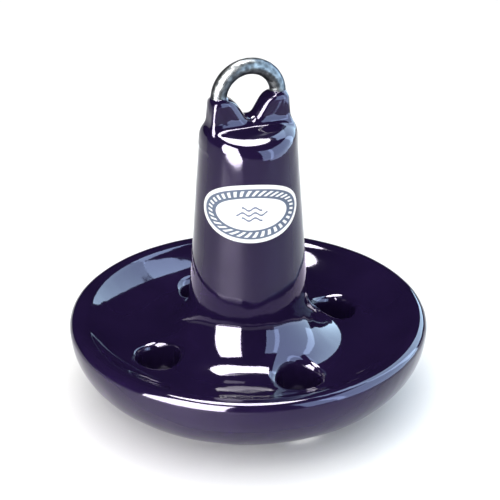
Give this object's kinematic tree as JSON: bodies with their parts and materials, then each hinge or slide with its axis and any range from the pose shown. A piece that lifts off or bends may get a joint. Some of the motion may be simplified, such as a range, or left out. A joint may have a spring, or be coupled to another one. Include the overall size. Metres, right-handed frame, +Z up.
{
  "type": "boat anchor",
  "caption": "Vinyl-dipped cast-iron mushroom anchor for small boats: a heavy shallow drained bowl that bites into mud, a tapered shank and a steel rope eye.",
  "frame": {"origin": "centre of the flat foot under the bowl, on the surface the anchor stands on", "axes": "+Z up the shank; the rope eye and its lug lie in the XZ plane, so a rope passes through the eye along Y; the label faces mostly -Y"},
  "size_m": [0.18, 0.18, 0.1789],
  "materials": {
    "cast_iron_core": "as-cast grey iron, hidden under the dip",
    "vinyl_dip": "thick glossy dipped PVC, very dark purple-black",
    "galvanised_bar": "hot-dip galvanised round bar, mottled and worn",
    "printed_label": "satin printed film, white with blue-grey print"
  },
  "bodies": {
    "root": {"anchor_casting": "cast_iron_core", "vinyl_coating": "vinyl_dip", "eye_hoop": "galvanised_bar", "label_film": "printed_label"}
  },
  "joints": []
}
